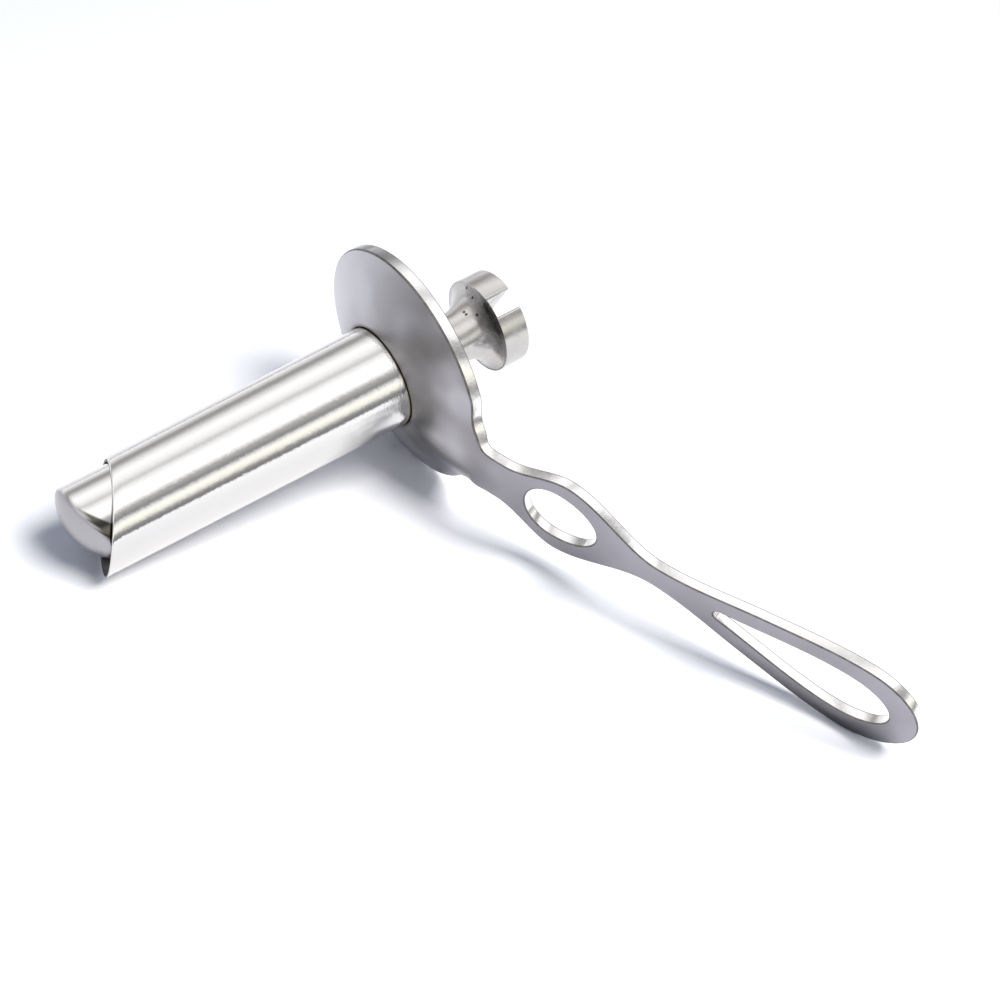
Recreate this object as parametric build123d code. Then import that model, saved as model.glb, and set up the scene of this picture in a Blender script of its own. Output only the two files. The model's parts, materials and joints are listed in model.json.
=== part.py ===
from build123d import *
import os
from math import atan2, cos, degrees, hypot, pi, radians, sin, sqrt

# Tubular speculum with an oblique obturator, lying on a table as it comes to rest.
# It is drawn first in a working frame: X along the tube towards its open far end, with the
# front of the flange at X = 0, Z from the tube towards the handle and Y across the handle.
# The last section lays it on its three contact points, in millimetres with +Z up.

# Tube
tube_radius_at_flange = 12.5
tube_radius_at_end = 11.55
tube_wall = 1.0
tube_long_side = 78.3
tube_short_side = 65.85
bevel_turn = 23.2

# Flange and handle, one plate
plate_thickness = 2.7
flange_radius = 29.3
flange_flat_radius = 13.0
dish_drop = 6.3
dish_power = 1.25
handle_lean = 21.0
bend_start = 21.1
bend_reach = 5.0
ridge_inner_turn = 2.0
ridge_outer_turn = 32.0
root_fillet = 11.2
neck_half_width = 6.7
neck_run = 2.0
loop_half_width = 12.6
loop_middle = 18.3
waist_half_width = 3.45
flank_half_width = 8.55
flank_rise = 0.22
grip_half_width = 12.8
grip_end_length = 15.5
handle_length = 109.2
oval_setback = 1.4
oval_half_width = 8.2
oval_near_length = 8.0
oval_far_length = 11.0
teardrop_end_wall = 6.7
teardrop_length = 43.9
teardrop_half_width = 7.4
teardrop_round_length = 11.6
teardrop_point_radius = 1.7

# Obturator
tip_radius = 10.42
tip_cylinder_length = 36.0
tip_face_middle = 73.6
tip_face_slope = 27.0
tip_turn = -124.0
tip_dome_height = 6.8
tip_edge_round = 2.2
dome_spare = 1.01
rod_radius = 5.0
spigot_radius = 4.0
spigot_length = 12.0
knob_neck_radius = 6.35
knob_neck_front = -5.0
knob_rim_radius = 11.75
knob_rim_front = -28.2
knob_rim_height = 6.8
knob_flare_radius = 7.0
knob_slot_width = 4.7
knob_slot_turn = -72.0
knob_edge_break = 0.5

# Clearances
braze_gap = 0.05
spigot_gap = 0.05

AXIS = Vector(1, 0, 0)
lean = radians(handle_lean)
plate_depth = plate_thickness / cos(lean)


def turned(profile_points):
    """A solid of revolution about the tube's axis from (x, radius) points."""
    outline = Plane.XZ * Polyline(*profile_points, close=True)
    return revolve(make_face(outline), Axis.X, 360)


def radial(turn, radius, x=0.0):
    """A point at an angle counted from the handle's side, Z, towards +Y."""
    return Vector(x, radius * sin(radians(turn)), radius * cos(radians(turn)))


# Tube: a thin tapered pipe whose far end is cut off on a slant, longest on the handle's side
taper = (tube_radius_at_flange - tube_radius_at_end) / tube_long_side


def tube_outside(x):
    """Outer radius of the tube: straight inside the flange, tapered in front of it."""
    return tube_radius_at_flange - taper * max(x, 0.0)


spare = 5.0
far_x = tube_long_side + spare
tube_pipe = turned([
    (-plate_depth, tube_radius_at_flange),
    (0.0, tube_radius_at_flange),
    (far_x, tube_outside(far_x)),
    (far_x, tube_outside(far_x) - tube_wall),
    (0.0, tube_radius_at_flange - tube_wall),
    (-plate_depth, tube_radius_at_flange - tube_wall),
])
long_point = radial(bevel_turn, tube_outside(tube_long_side), tube_long_side)
short_point = radial(bevel_turn + 180, tube_outside(tube_short_side), tube_short_side)
bevel_normal = (long_point - short_point).cross(radial(bevel_turn + 90, 1)).normalized()
if bevel_normal.X < 0:
    bevel_normal = -bevel_normal
bevel_plane = Plane(origin=(long_point + short_point) / 2, z_dir=bevel_normal)
speculum_tube = split(tube_pipe, bisect_by=bevel_plane, keep=Keep.BOTTOM)


# Plate front: a shallow dish whose rim falls back, with a ridge that runs out into the handle
past_rim = 1.3
grid_step = 3.5


def smooth_step(t):
    t = min(1.0, max(0.0, t))
    return t * t * (3 - 2 * t)


def dish_depth(radius):
    """How far the dish falls back at a radius; it is level again a little past the rim."""
    t = max(0.0, (radius - flange_flat_radius) / (flange_radius - flange_flat_radius))
    return dish_drop * min(t, past_rim) ** dish_power


def handle_depth(z):
    """Level up to the bend, then a straight lean, joined by a parabola."""
    past = z - bend_start
    slope = sin(lean) / cos(lean)
    if abs(past) < bend_reach:
        return slope * (past + bend_reach) ** 2 / (4 * bend_reach)
    return slope * max(past, 0.0)


def plate_front(y, z):
    """X of the plate's front face in the flange and the handle's root."""
    turn = abs(degrees(atan2(y, z)))
    dish_share = smooth_step((turn - ridge_inner_turn) / (ridge_outer_turn - ridge_inner_turn))
    dish_share *= 1 - smooth_step((z - flange_radius) / bend_reach)
    return -(handle_depth(z) * (1 - dish_share) + dish_depth(hypot(y, z)) * dish_share)


fillet_centre_y = neck_half_width + root_fillet
fillet_centre_z = sqrt((flange_radius + root_fillet) ** 2 - fillet_centre_y**2)
root_end = fillet_centre_z
root_end_x = -handle_depth(root_end)
grid_reach = flange_radius + 2 * grid_step
grid_count = int(2 * grid_reach / grid_step) + 1
grid_top = root_end + neck_run + 2 * grid_step
grid_rows = int((grid_reach + grid_top) / grid_step) + 1
front_points = [
    [
        Vector(plate_front(y, z), y, z)
        for y in [-grid_reach + 2 * grid_reach * i / (grid_count - 1) for i in range(grid_count)]
    ]
    for z in [-grid_reach + (grid_reach + grid_top) * k / (grid_rows - 1) for k in range(grid_rows)]
]
front_face = Face.make_surface_from_array_of_points(front_points, tol=0.1, min_deg=3, max_deg=3)
root_sheet = Solid.extrude(front_face, Vector(-plate_depth, 0, 0))

# Flange outline, with the two fillets that run into the handle, seen along the tube
tangent_scale = flange_radius / (flange_radius + root_fillet)
tangent_y = fillet_centre_y * tangent_scale
tangent_z = fillet_centre_z * tangent_scale
fillet_turn = atan2(fillet_centre_y, fillet_centre_z)
middle_turn = (pi / 2 - fillet_turn) / 2 + fillet_turn
root_middle_y = fillet_centre_y - root_fillet * sin(middle_turn)
root_middle_z = fillet_centre_z - root_fillet * cos(middle_turn)
yz = Plane(origin=(0, 0, 0), x_dir=(0, 1, 0), z_dir=(1, 0, 0))
neck_top = root_end + 2 * neck_run
root_outline = Polyline((tangent_y, tangent_z), (0, 0), (-tangent_y, tangent_z)) + [
    ThreePointArc((-tangent_y, tangent_z), (-root_middle_y, root_middle_z), (-neck_half_width, root_end)),
    Polyline(
        (-neck_half_width, root_end),
        (-neck_half_width, neck_top),
        (neck_half_width, neck_top),
        (neck_half_width, root_end),
    ),
    ThreePointArc((neck_half_width, root_end), (root_middle_y, root_middle_z), (tangent_y, tangent_z)),
]
root_face = make_face(root_outline) + Circle(flange_radius)
prism_depth = dish_drop + 4 * plate_depth
root_prism = extrude(yz * root_face, prism_depth, both=True)

# Handle blade: flat, cut along one outline with a long oval eye and a teardrop eye
grip_middle = handle_length - grip_end_length
oval_middle = loop_middle - oval_setback
teardrop_end = handle_length - teardrop_end_wall
teardrop_middle = teardrop_end - teardrop_round_length
teardrop_start = teardrop_end - teardrop_length
teardrop_point = teardrop_start + teardrop_point_radius
waist_middle = (oval_middle + oval_far_length + teardrop_start) / 2
flank_middle = (waist_middle + grip_middle) / 2
blade_plane = Plane(
    origin=(root_end_x, 0, root_end),
    x_dir=(-sin(lean), 0, cos(lean)),
    z_dir=(cos(lean), 0, sin(lean)),
)
neck_plane = Plane(origin=blade_plane.from_local_coords(Vector(neck_run, 0, 0)), z_dir=blade_plane.x_dir)
flange_root = split(root_sheet & root_prism, bisect_by=neck_plane, keep=Keep.BOTTOM)


def blade_edge(side):
    """One long edge of the blade, from the neck past the loop and the waist to the widest grip."""
    return Spline(
        (neck_run, side * neck_half_width),
        (loop_middle, side * loop_half_width),
        (waist_middle, side * waist_half_width),
        (flank_middle, side * flank_half_width),
        (grip_middle, side * grip_half_width),
        tangents=[(1, 0), (1, 0), (1, 0), (1, side * flank_rise), (1, 0)],
    )


blade_end = EllipticalCenterArc(
    (grip_middle, 0), handle_length - grip_middle, grip_half_width, start_angle=-90, arc_size=180
)
blade_outline = blade_edge(1) + blade_end + blade_edge(-1)
blade_outline += Line((neck_run, -neck_half_width), (neck_run, neck_half_width))
oval_outline = [
    EllipticalCenterArc((oval_middle, 0), oval_far_length, oval_half_width, start_angle=-90, arc_size=180),
    EllipticalCenterArc((oval_middle, 0), oval_near_length, oval_half_width, start_angle=90, arc_size=180),
]
teardrop_side_rise = (teardrop_half_width - teardrop_point_radius) / (teardrop_middle - teardrop_point)
teardrop_outline = [
    EllipticalCenterArc(
        (teardrop_middle, 0), teardrop_round_length, teardrop_half_width, start_angle=-90, arc_size=180
    ),
    Spline(
        (teardrop_point, teardrop_point_radius),
        (teardrop_middle, teardrop_half_width),
        tangents=[(1, teardrop_side_rise), (1, 0)],
    ),
    ThreePointArc(
        (teardrop_point, teardrop_point_radius),
        (teardrop_start, 0),
        (teardrop_point, -teardrop_point_radius),
    ),
    Spline(
        (teardrop_point, -teardrop_point_radius),
        (teardrop_middle, -teardrop_half_width),
        tangents=[(1, -teardrop_side_rise), (1, 0)],
    ),
]
blade_face = make_face(blade_outline) - make_face(oval_outline) - make_face(teardrop_outline)
blade = extrude(blade_plane * blade_face, -plate_thickness)
bore_reach = dish_drop + 2 * plate_depth
bore_cutter = turned([
    (-bore_reach, 0.0),
    (bore_reach, 0.0),
    (bore_reach, tube_radius_at_flange + braze_gap),
    (-bore_reach, tube_radius_at_flange + braze_gap),
])
flange_handle = flange_root + blade - bore_cutter

# Obturator tip: a plug that fills the far end of the tube, cut on the tube's slant and domed
tip_back = tip_face_middle - tip_cylinder_length
tip_direction = radial(tip_turn, 1)
slope = radians(tip_face_slope)
face_normal = AXIS * cos(slope) - tip_direction * sin(slope)
face_reach = dome_spare * tip_radius / cos(slope)
dome_radius = (face_reach**2 + tip_dome_height**2) / (2 * tip_dome_height)
dome_centre = AXIS * tip_face_middle - face_normal * (dome_radius - tip_dome_height)
plug = Plane(origin=(tip_back, 0, 0), z_dir=AXIS) * Cylinder(
    tip_radius, 2 * tip_cylinder_length, align=(Align.CENTER, Align.CENTER, Align.MIN)
)
behind_face = Plane(origin=AXIS * tip_face_middle, z_dir=face_normal) * Box(
    4 * tip_cylinder_length,
    4 * tip_cylinder_length,
    2 * tip_cylinder_length,
    align=(Align.CENTER, Align.CENTER, Align.MAX),
)
dome = Plane(origin=dome_centre, z_dir=face_normal) * Sphere(dome_radius)
obturator_tip = plug & (behind_face + dome)
shoulder = [
    edge
    for edge in obturator_tip.edges()
    if edge.geom_type != GeomType.LINE and edge.center().X > tip_back + tip_cylinder_length / 2
]
obturator_tip = fillet(shoulder, tip_edge_round)
spigot_hole = spigot_radius + spigot_gap
obturator_tip -= turned([
    (tip_back, 0.0),
    (tip_back + spigot_length + spigot_gap, 0.0),
    (tip_back + spigot_length + spigot_gap, spigot_hole),
    (tip_back, spigot_hole),
])

# Obturator rod: a round bar with a spigot at each end, held in the plug and in the knob
obturator_rod = turned([
    (knob_neck_front - spigot_length, 0.0),
    (tip_back + spigot_length, 0.0),
    (tip_back + spigot_length, spigot_radius),
    (tip_back, spigot_radius),
    (tip_back, rod_radius),
    (knob_neck_front, rod_radius),
    (knob_neck_front, spigot_radius),
    (knob_neck_front - spigot_length, spigot_radius),
])

# Obturator knob: a neck that flares into a short drum, with one slot across the drum
flare_centre_radius = knob_neck_radius + knob_flare_radius
flare_turn = (flare_centre_radius - knob_rim_radius) / knob_flare_radius
flare_run = knob_flare_radius * sqrt(1 - flare_turn**2)
flare_start = knob_rim_front + flare_run
knob_back = knob_rim_front - knob_rim_height
half_turn_x = flare_start - knob_flare_radius * sin(pi / 4)
half_turn_radius = flare_centre_radius - knob_flare_radius * cos(pi / 4)
knob_outline = Polyline(
    (knob_rim_front, knob_rim_radius),
    (knob_back + knob_edge_break, knob_rim_radius),
    (knob_back, knob_rim_radius - knob_edge_break),
    (knob_back, 0.0),
    (knob_neck_front, 0.0),
    (knob_neck_front, knob_neck_radius),
    (flare_start, knob_neck_radius),
) + ThreePointArc(
    (flare_start, knob_neck_radius), (half_turn_x, half_turn_radius), (knob_rim_front, knob_rim_radius)
)
obturator_knob = revolve(Plane.XZ * make_face(knob_outline), Axis.X, 360)
obturator_knob -= turned([
    (knob_neck_front - spigot_length - spigot_gap, 0.0),
    (knob_neck_front, 0.0),
    (knob_neck_front, spigot_hole),
    (knob_neck_front - spigot_length - spigot_gap, spigot_hole),
])
slot_plane = Plane(
    origin=(knob_rim_front, 0, 0), x_dir=radial(knob_slot_turn, 1), z_dir=(-1, 0, 0)
)
slot_face = slot_plane * Rectangle(3 * knob_rim_radius, knob_slot_width)
obturator_knob -= extrude(slot_face, 2 * knob_rim_height)

# Rest pose: the plane that touches the tube's end, the flange's rim and the handle's end
samples = 720
turns = [360 * i / samples for i in range(samples)]


def tube_rim_point(turn):
    """Where the slanted cut crosses the tube's outside."""
    out = radial(turn, 1)
    across = out.dot(bevel_normal)
    level = bevel_plane.origin.dot(bevel_normal)
    x = (level - tube_radius_at_flange * across) / (bevel_normal.X - taper * across)
    return out * tube_outside(x) + AXIS * x


def blade_rim_point(turn):
    """A point on the front edge of the blade's rounded end."""
    along = grip_middle + (handle_length - grip_middle) * cos(radians(turn))
    return blade_plane.from_local_coords(Vector(along, grip_half_width * sin(radians(turn)), 0))


rims = [
    [tube_rim_point(turn) for turn in turns],
    [radial(turn, flange_radius, -dish_drop) for turn in turns],
    [blade_rim_point(turn) for turn in turns],
]
up = Vector(0, -1, 0)
for _ in range(20):
    contacts = [min(rim, key=lambda point: point.dot(up)) for rim in rims]
    up = (contacts[1] - contacts[0]).cross(contacts[2] - contacts[0]).normalized()
    if up.Y > 0:
        up = -up
rest_plane = Plane(origin=contacts[0], x_dir=AXIS - up * up.X, z_dir=up)

pieces = {
    "speculum_tube": speculum_tube,
    "flange_handle": flange_handle,
    "obturator_tip": obturator_tip,
    "obturator_rod": obturator_rod,
    "obturator_knob": obturator_knob,
}
laid = {name: rest_plane.to_local_coords(shape) for name, shape in pieces.items()}
box = Compound(children=[Compound(shape.solids()) for shape in laid.values()]).bounding_box()
to_origin = Vector(-box.center().X, -box.center().Y, -box.min.Z)

os.makedirs("parts", exist_ok=True)
for name, shape in laid.items():
    export_step(Pos(to_origin) * shape, f"parts/{name}.step")
print("size", box.size, "contacts", [rest_plane.to_local_coords(point) + to_origin for point in contacts])
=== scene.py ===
import json
import bmesh
import bpy
import numpy as np
from mathutils import Matrix, Vector


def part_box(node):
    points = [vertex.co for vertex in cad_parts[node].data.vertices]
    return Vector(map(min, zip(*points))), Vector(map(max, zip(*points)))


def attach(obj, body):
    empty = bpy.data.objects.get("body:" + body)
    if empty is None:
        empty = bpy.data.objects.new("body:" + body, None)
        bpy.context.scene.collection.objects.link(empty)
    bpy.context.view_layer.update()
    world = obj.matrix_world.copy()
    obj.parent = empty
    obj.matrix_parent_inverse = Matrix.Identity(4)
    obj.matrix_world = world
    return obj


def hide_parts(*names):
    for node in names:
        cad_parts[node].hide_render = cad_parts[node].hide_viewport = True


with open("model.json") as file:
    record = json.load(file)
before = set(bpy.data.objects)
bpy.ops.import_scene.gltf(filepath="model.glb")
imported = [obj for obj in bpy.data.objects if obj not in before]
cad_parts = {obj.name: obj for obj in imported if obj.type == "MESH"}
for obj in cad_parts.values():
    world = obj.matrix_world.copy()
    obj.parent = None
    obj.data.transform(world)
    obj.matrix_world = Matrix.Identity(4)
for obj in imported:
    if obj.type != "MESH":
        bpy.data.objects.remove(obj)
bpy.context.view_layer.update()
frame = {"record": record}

# The instrument's own frame: x along the tube towards its open end, z from the tube towards the
# handle, y across the handle, in millimetres from the middle of the flange's bore. The packed
# record gives its directions, and the rod's box gives its place on the table.
record = frame["record"]
mounts = {mount["name"]: mount for mount in record["mounts"]}
along_tube = -np.array(record["behaviour"]["joints"][0]["axis"])
blade_normal = np.array(mounts["hanging_eye"]["axis"])
to_handle = blade_normal - along_tube * (blade_normal @ along_tube)
to_handle /= np.linalg.norm(to_handle)
across = np.cross(to_handle, along_tube)
own_axes = np.array([along_tube, across, to_handle])
rod_middle_x = 16.3
own_origin = np.mean(np.array(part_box("obturator_rod")), axis=0) - along_tube * rod_middle_x / 1000


def on_table(points):
    """Own-frame points in mm to the shared frame in metres: origin + x·X + y·Y + z·Z."""
    return own_origin + np.asarray(points) / 1000 @ own_axes


# Speculum tube: drawn stainless tube, slightly tapered, its far end cut off on a slant and the
# rim eased by hand. It is brazed into the flange's bore. Buffed round and round on a wheel, so
# it is nearly a mirror whose long dark reflections have ragged edges.
tube_radius_at_flange = 12.5
tube_radius_at_end = 11.55
tube_wall = 1.0
tube_long_side = 78.3
tube_short_side = 65.85
bevel_turn = np.radians(23.2)
tube_back = -2.85
rim_easing = 0.34
taper = (tube_radius_at_flange - tube_radius_at_end) / tube_long_side


def grid_faces(rows, columns, closed_rows=False, closed_columns=False):
    """Quads between the neighbours of a rows × columns grid, wrapping where it is closed."""
    row = np.arange(rows if closed_rows else rows - 1)
    column = np.arange(columns if closed_columns else columns - 1)
    row, column = np.meshgrid(row, column, indexing="ij")
    next_row, next_column = (row + 1) % rows, (column + 1) % columns
    corners = [
        row * columns + column,
        next_row * columns + column,
        next_row * columns + next_column,
        row * columns + next_column,
    ]
    return np.stack(corners, axis=-1).reshape(-1, 4)


def make_piece(name, sheets, finishes, body, cad_node):
    """One mesh from sheets of (points in mm, quads, finish number), merged where they meet.

    Corners sharper than 38 degrees stay sharp in the shading. The attribute own_mm keeps every
    point's place in the instrument's own frame, for patterns.
    """
    counts = np.cumsum([0] + [len(points) for points, _, _ in sheets])
    points = np.concatenate([points for points, _, _ in sheets])
    faces = np.concatenate([quads + start for (_, quads, _), start in zip(sheets, counts)])
    finish_numbers = np.concatenate([np.full(len(quads), number) for _, quads, number in sheets])
    mesh = bpy.data.meshes.new(name)
    mesh.from_pydata(on_table(points).tolist(), [], faces.tolist())
    mesh.polygons.foreach_set("material_index", finish_numbers.astype(np.int32))
    work = bmesh.new()
    work.from_mesh(mesh)
    bmesh.ops.remove_doubles(work, verts=work.verts, dist=2e-6)
    bmesh.ops.dissolve_degenerate(work, edges=work.edges, dist=1e-7)
    bmesh.ops.recalc_face_normals(work, faces=work.faces)
    work.to_mesh(mesh)
    work.free()
    mesh.polygons.foreach_set("use_smooth", np.ones(len(mesh.polygons), dtype=bool))
    mesh.set_sharp_from_angle(angle=np.radians(38))
    placed = np.empty(len(mesh.vertices) * 3)
    mesh.vertices.foreach_get("co", placed)
    own = (placed.reshape(-1, 3) - own_origin) * 1000 @ own_axes.T
    mesh.attributes.new("own_mm", "FLOAT_VECTOR", "POINT").data.foreach_set("vector", own.ravel())
    for finish in finishes:
        mesh.materials.append(finish)
    piece = bpy.data.objects.new(name, mesh)
    bpy.context.scene.collection.objects.link(piece)
    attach(piece, body)
    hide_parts(cad_node)
    return piece


corner_rows = 5


def corner(before, tip, after):
    """Points that round a corner off: (1-t)²·before + 2t(1-t)·tip + t²·after."""
    t = np.linspace(0, 1, corner_rows)[:, None, None]
    return (1 - t) ** 2 * before + 2 * t * (1 - t) * tip + t**2 * after


turns = np.radians(np.arange(0, 360, 1.5))
slant = (tube_long_side - tube_short_side) / (
    2 * tube_radius_at_flange - taper * (tube_long_side + tube_short_side)
)
slant_start = tube_long_side - slant * tube_radius_at_end
slant_share = np.cos(turns - bevel_turn)


def tube_line(x, radius_at_flange):
    """(x, radius) pairs on the tapered wall: the radius shrinks by the taper in front of x = 0."""
    return np.stack([x, radius_at_flange - taper * np.maximum(x, 0)], axis=-1)


def tube_end(radius_at_flange):
    """Where the slanted cut meets a wall line: x = start + slant·radius(x)·cos(turn - bevel)."""
    return (slant_start + slant * radius_at_flange * slant_share) / (1 + slant * taper * slant_share)


outer_end, inner_end = tube_end(tube_radius_at_flange), tube_end(tube_radius_at_flange - tube_wall)
outer_tip = tube_line(outer_end, tube_radius_at_flange)
inner_tip = tube_line(inner_end, tube_radius_at_flange - tube_wall)
rim_run = inner_tip - outer_tip
rim_run /= np.linalg.norm(rim_run, axis=-1, keepdims=True)
share = np.linspace(0, 1, 40)[:, None]
outer_wall = tube_line(tube_back + share * (outer_end - rim_easing - tube_back), tube_radius_at_flange)
inner_wall = tube_line(
    inner_end - rim_easing + share * (tube_back - inner_end + rim_easing), tube_radius_at_flange - tube_wall
)
tube_profile = np.concatenate([
    outer_wall,
    corner(outer_wall[-1], outer_tip, outer_tip + rim_easing * rim_run)[1:],
    corner(inner_tip - rim_easing * rim_run, inner_tip, inner_wall[0]),
    inner_wall[1:],
])


def turned(profile):
    """Carries (x, radius) rows round the tube's axis: y = radius·sin(turn), z = radius·cos(turn)."""
    x, radius = np.broadcast_to(profile, (len(profile), len(turns), 2)).transpose(2, 0, 1)
    return np.stack([x, radius * np.sin(turns), radius * np.cos(turns)], axis=-1).reshape(-1, 3)


def linear(hex_colour):
    """An sRGB hex colour as linear RGBA."""
    srgb = np.array([int(hex_colour[i:i + 2], 16) for i in (1, 3, 5)]) / 255
    rgb = np.where(srgb <= 0.04045, srgb / 12.92, ((srgb + 0.055) / 1.055) ** 2.4)
    return (*rgb.tolist(), 1.0)


def add(material, kind, inputs=(), **settings):
    """Adds one node: settings are its fields, inputs pair a socket with a value or an output."""
    tree = material.node_tree
    node = tree.nodes.new(kind)
    for field, value in settings.items():
        setattr(node, field, value)
    for socket, value in dict(inputs).items():
        if isinstance(value, bpy.types.NodeSocket):
            tree.links.new(value, node.inputs[socket])
        else:
            node.inputs[socket].default_value = value
    return node


def start_finish(name):
    """A new material with nodes and no shader yet."""
    material = bpy.data.materials.new(name)
    material.use_nodes = True
    material.node_tree.nodes.clear()
    return material


# Buffed stainless steel: a mirror with short wheel marks round the tube. The marks are about 0.1 mm
# apart in life; they are drawn 0.6 mm apart so that they show, and they fray the reflections' edges.
buffed_steel = start_finish("buffed_stainless_steel")
place = add(buffed_steel, "ShaderNodeAttribute", attribute_name="own_mm").outputs["Vector"]
wheel_place = add(buffed_steel, "ShaderNodeMapping", {"Vector": place, "Scale": (1.7, 0.7, 0.7)})
wheel_marks = add(
    buffed_steel,
    "ShaderNodeTexNoise",
    {"Vector": wheel_place.outputs[0], "Scale": 1.0, "Detail": 3.0, "Roughness": 0.6},
)
wave_place = add(buffed_steel, "ShaderNodeMapping", {"Vector": place, "Scale": (0.35, 0.1, 0.1)})
buffing_waves = add(
    buffed_steel,
    "ShaderNodeTexNoise",
    {"Vector": wave_place.outputs[0], "Scale": 1.0, "Detail": 2.0, "Roughness": 0.5},
)
wave_bump = add(
    buffed_steel,
    "ShaderNodeBump",
    {"Height": buffing_waves.outputs["Fac"], "Strength": 1.0, "Distance": 3.5e-5},
)
mark_bump = add(
    buffed_steel,
    "ShaderNodeBump",
    {
        "Height": wheel_marks.outputs["Fac"],
        "Strength": 1.0,
        "Distance": 3.0e-5,
        "Normal": wave_bump.outputs[0],
    },
)
mark_gloss = add(
    buffed_steel,
    "ShaderNodeMapRange",
    {"Value": wheel_marks.outputs["Fac"], "From Min": 0.3, "From Max": 0.75, "To Min": 0.05, "To Max": 0.12},
)
# The braze at the flange is a thin brown-black line, worn in with old polish.
own_x = add(buffed_steel, "ShaderNodeSeparateXYZ", {"Vector": place}).outputs["X"]
braze_stain = add(
    buffed_steel,
    "ShaderNodeMapRange",
    {"Value": own_x, "From Min": 0.1, "From Max": 0.5, "To Min": 0.0, "To Max": 1.0},
    interpolation_type="SMOOTHSTEP",
)
steel_colour = add(
    buffed_steel,
    "ShaderNodeMix",
    {"Factor": braze_stain.outputs[0], 6: linear("#5E5446"), 7: linear("#D6D4D1")},
    data_type="RGBA",
)
steel_shader = add(
    buffed_steel,
    "ShaderNodeBsdfPrincipled",
    {
        "Base Color": steel_colour.outputs[2],
        "Metallic": 1.0,
        "Roughness": mark_gloss.outputs[0],
        "Normal": mark_bump.outputs[0],
    },
)
add(buffed_steel, "ShaderNodeOutputMaterial", {"Surface": steel_shader.outputs[0]})

# The tube's inside and the cut end of its wall are left as drawn, grey and dull; their near-black colour
# is painted shade inside and a painted dark reflection on the cut end.
drawn_bore_painted_shade = start_finish("drawn_steel_bore_painted_shade")
place = add(drawn_bore_painted_shade, "ShaderNodeAttribute", attribute_name="own_mm").outputs["Vector"]
draw_place = add(drawn_bore_painted_shade, "ShaderNodeMapping", {"Vector": place, "Scale": (0.15, 2.0, 2.0)})
draw_marks = add(
    drawn_bore_painted_shade,
    "ShaderNodeTexNoise",
    {"Vector": draw_place.outputs[0], "Scale": 1.0, "Detail": 2.0, "Roughness": 0.5},
)
draw_bump = add(
    drawn_bore_painted_shade, "ShaderNodeBump", {"Height": draw_marks.outputs["Fac"], "Strength": 1.0, "Distance": 2e-5}
)
# Painted shade: near-black colours stand in for the shade inside the tube and a dark reflection on its cut
# end.
bore_painted_shade_colour = add(
    drawn_bore_painted_shade,
    "ShaderNodeMix",
    {"Factor": draw_marks.outputs["Fac"], 6: linear("#3A3836"), 7: linear("#54524F")},
    data_type="RGBA",
)
bore_shader = add(
    drawn_bore_painted_shade,
    "ShaderNodeBsdfPrincipled",
    {
        "Base Color": bore_painted_shade_colour.outputs[2],
        "Metallic": 1.0,
        "Roughness": 0.42,
        "Normal": draw_bump.outputs[0],
    },
)
add(drawn_bore_painted_shade, "ShaderNodeOutputMaterial", {"Surface": bore_shader.outputs[0]})

# The buffing ends with the rim's rounded outer corner, and the bore's finish, painted dark, starts there.
tube_points = turned(tube_profile)
tube_quads = grid_faces(len(tube_profile), len(turns), closed_rows=True, closed_columns=True)
buffed_quads = (len(outer_wall) + corner_rows - 2) * len(turns)
make_piece(
    "tube_wall",
    [(tube_points, tube_quads[:buffed_quads], 0), (tube_points, tube_quads[buffed_quads:], 1)],
    [buffed_steel, drawn_bore_painted_shade],
    "speculum",
    "speculum_tube",
)

# Flange and handle: one stainless plate, pressed so that the round flange is dished and a soft
# ridge runs out of it into the flat handle, with an oval and a teardrop eye cut out. Its faces
# are left satin and grey; its edges are rounded over and polished bright.
plate_thickness = 2.7
flange_radius = 29.3
flange_flat_radius = 13.0
dish_drop = 6.3
dish_power = 1.25
past_rim = 1.3
handle_lean = np.radians(21.0)
bend_start = 21.1
bend_reach = 5.0
ridge_inner_turn = 2.0
ridge_outer_turn = 32.0
root_fillet = 11.2
neck_half_width = 6.7
neck_run = 2.0
loop_half_width = 12.6
loop_middle = 18.3
waist_half_width = 3.45
flank_half_width = 8.55
flank_rise = 0.22
grip_half_width = 12.8
grip_end_length = 15.5
handle_length = 109.2
oval_middle = loop_middle - 1.4
oval_half_width = 8.2
oval_near_length = 8.0
oval_far_length = 11.0
teardrop_end = handle_length - 6.7
teardrop_length = 43.9
teardrop_half_width = 7.4
teardrop_round_length = 11.6
teardrop_point_radius = 1.7
bore_radius = 12.55
edge_easing = 0.3

fillet_centre_y = neck_half_width + root_fillet
fillet_centre_z = np.sqrt((flange_radius + root_fillet) ** 2 - fillet_centre_y**2)
fillet_turn = np.arctan2(fillet_centre_y, fillet_centre_z)
grip_middle = handle_length - grip_end_length
teardrop_start = teardrop_end - teardrop_length
teardrop_middle = teardrop_end - teardrop_round_length
teardrop_point = teardrop_start + teardrop_point_radius
waist_middle = (oval_middle + oval_far_length + teardrop_start) / 2
flank_middle = (waist_middle + grip_middle) / 2


def smooth_step(t):
    """3t² - 2t³ between 0 and 1, level outside."""
    t = np.clip(t, 0, 1)
    return t * t * (3 - 2 * t)


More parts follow.
